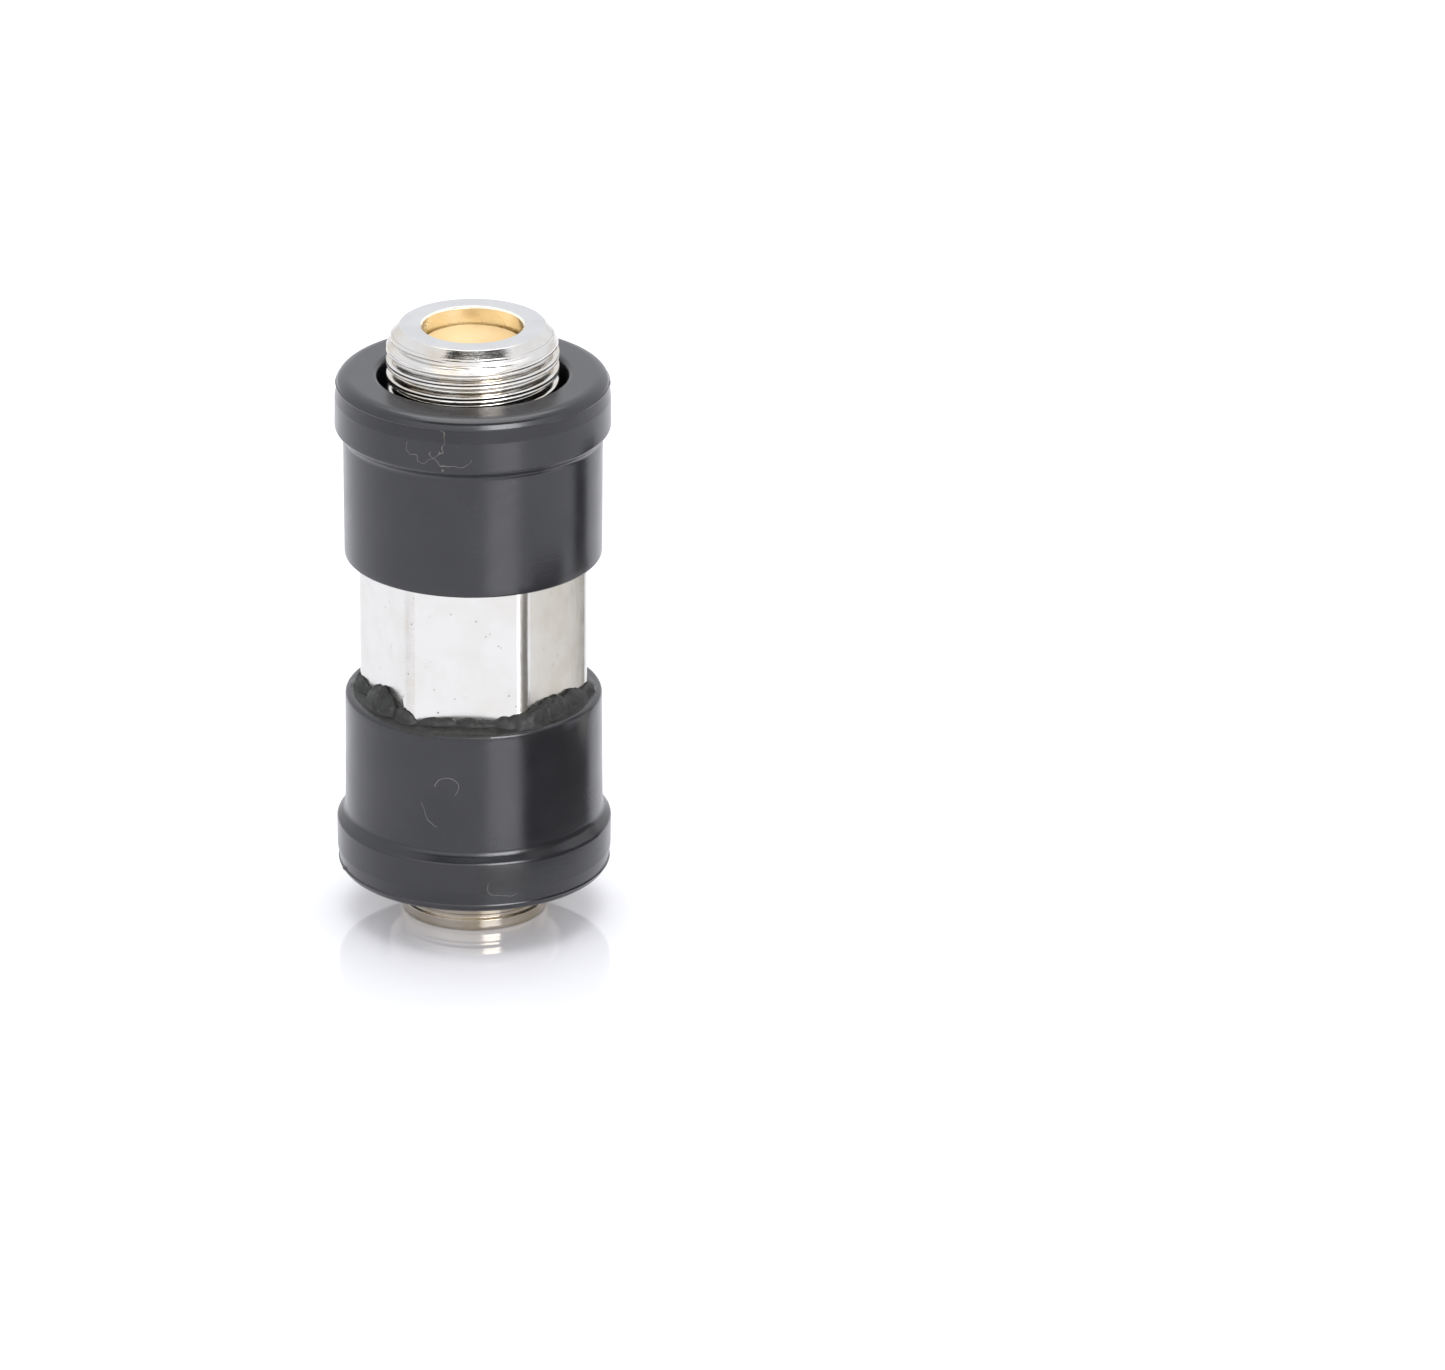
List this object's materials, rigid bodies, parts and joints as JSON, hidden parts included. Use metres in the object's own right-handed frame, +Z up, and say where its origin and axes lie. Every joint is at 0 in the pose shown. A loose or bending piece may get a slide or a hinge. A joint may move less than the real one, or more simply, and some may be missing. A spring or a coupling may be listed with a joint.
{
  "type": "coaxial barrel coupler with weather boots",
  "caption": "Straight coaxial cable coupler: a plated hexagonal barrel with a threaded female port at each end and a rubber sealing boot pushed over each side.",
  "frame": {"origin": "centre of the lower port's end face, which the coupler stands on", "axes": "+Z up along the barrel's axis to the upper port; two of the hexagon's flats face -Y and +Y"},
  "size_m": [0.015, 0.015, 0.034],
  "materials": {
    "nickel_plate": "bright nickel plating over brass, lightly stained",
    "boot_rubber": "smooth moulded black rubber with a slight sheen, dusty",
    "insulator_plastic": "cream moulded plastic, softly glossy",
    "spacer_plastic": "natural moulded plastic",
    "contact_bronze": "bright phosphor bronze"
  },
  "bodies": {
    "barrel": {"hex_body": "nickel_plate", "upper_port_ferrule": "nickel_plate", "lower_insulator": "insulator_plastic", "upper_insulator": "insulator_plastic", "spacer_tube": "spacer_plastic", "centre_contact": "contact_bronze"},
    "upper_boot": {"upper_boot": "boot_rubber"},
    "lower_boot": {"lower_boot": "boot_rubber"}
  },
  "joints": [
    {"name": "upper_boot_slide", "type": "slide", "parent": "barrel", "child": "upper_boot", "axis": [0, 0, 1], "range_m": [-0.003, 0.012]},
    {"name": "lower_boot_slide", "type": "slide", "parent": "barrel", "child": "lower_boot", "axis": [0, 0, -1], "range_m": [-0.003, 0.0022]}
  ]
}
